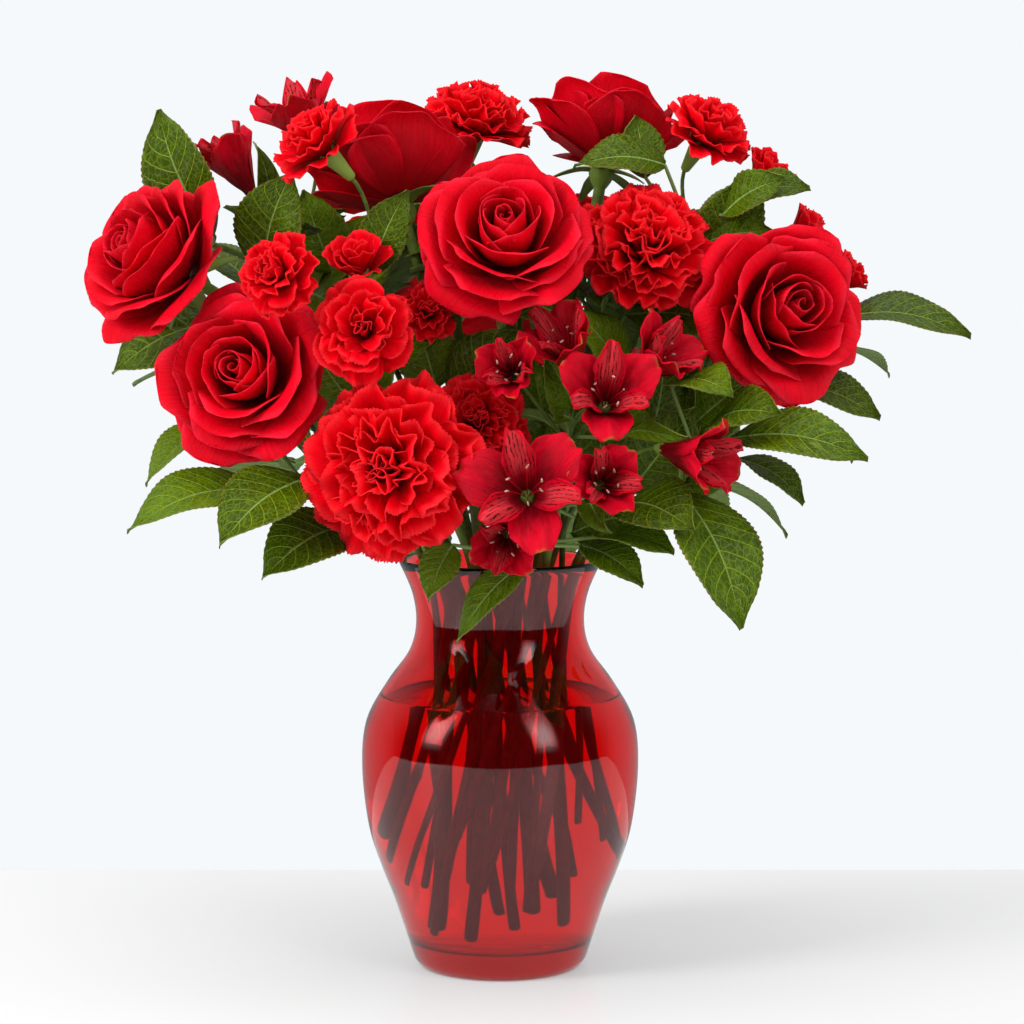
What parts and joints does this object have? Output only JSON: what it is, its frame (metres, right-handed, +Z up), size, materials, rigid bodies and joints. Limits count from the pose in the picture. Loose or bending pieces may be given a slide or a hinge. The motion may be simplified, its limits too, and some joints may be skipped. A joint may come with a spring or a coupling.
{
  "type": "mixed bouquet of roses and carnations in a vase",
  "caption": "Round bouquet of red roses, carnations, spray carnations and alstroemeria with salal leaves, standing in water in a clear red glass vase.",
  "frame": {"origin": "middle of the flat foot of the vase, on the surface that it stands on", "axes": "+Z up along the vase's axis; -Y the front, where the bouquet faces; +X the bouquet's right as it is looked at from the front"},
  "size_m": [0.4237, 0.2572, 0.4352],
  "materials": {
    "vase": "gloss",
    "water": "gloss",
    "rose_petal": "satin",
    "carnation_petal": "matte",
    "alstroemeria_petal": "satin",
    "stem": "satin",
    "leaf": "satin"
  },
  "bodies": {
    "root": {"rose_left_petals": "rose_petal", "rose_left_stem": "stem", "rose_upper_left_petals": "rose_petal", "rose_upper_left_stem": "stem", "rose_lower_left_petals": "rose_petal", "rose_lower_left_stem": "stem", "rose_centre_petals": "rose_petal", "rose_centre_stem": "stem", "rose_top_petals": "rose_petal", "rose_top_stem": "stem", "rose_right_petals": "rose_petal", "rose_right_stem": "stem", "rose_back_left_petals": "rose_petal", "rose_back_left_stem": "stem", "rose_back_right_petals": "rose_petal", "rose_back_right_stem": "stem", "carnation_front_petals": "carnation_petal", "carnation_front_stem": "stem", "carnation_right_petals": "carnation_petal", "carnation_right_stem": "stem", "carnation_top_petals": "carnation_petal", "carnation_top_stem": "stem", "carnation_middle_petals": "carnation_petal", "carnation_middle_stem": "stem", "carnation_back_petals": "carnation_petal", "carnation_back_stem": "stem", "spray_left_bloom_top": "carnation_petal", "spray_left_bloom_side": "carnation_petal", "spray_left_bloom_low": "carnation_petal", "spray_left_bloom_inner": "carnation_petal", "spray_left_stem": "stem", "spray_right_bloom_top": "carnation_petal", "spray_right_stem": "stem", "spray_back_bloom_left": "carnation_petal", "spray_back_bloom_right": "carnation_petal", "spray_back_stem": "stem", "alstroemeria_middle_bloom_left": "alstroemeria_petal", "alstroemeria_middle_bloom_top": "alstroemeria_petal", "alstroemeria_middle_bloom_right": "alstroemeria_petal", "alstroemeria_middle_bloom_low": "alstroemeria_petal", "alstroemeria_middle_stem": "stem", "alstroemeria_front_bloom_open": "alstroemeria_petal", "alstroemeria_front_bloom_low": "alstroemeria_petal", "alstroemeria_front_bloom_right": "alstroemeria_petal", "alstroemeria_front_bloom_upper": "alstroemeria_petal", "alstroemeria_front_stem": "stem", "alstroemeria_back_bloom_top": "alstroemeria_petal", "alstroemeria_back_bloom_side": "alstroemeria_petal", "alstroemeria_back_stem": "stem", "salal_upper_left": "leaf", "salal_left": "leaf", "salal_lower_left": "leaf", "salal_front": "leaf", "salal_lower_right": "leaf", "salal_right": "leaf", "salal_upper_right": "leaf", "salal_back_left": "leaf", "salal_back_right": "leaf", "vase": "vase", "water": "water"}
  },
  "joints": []
}
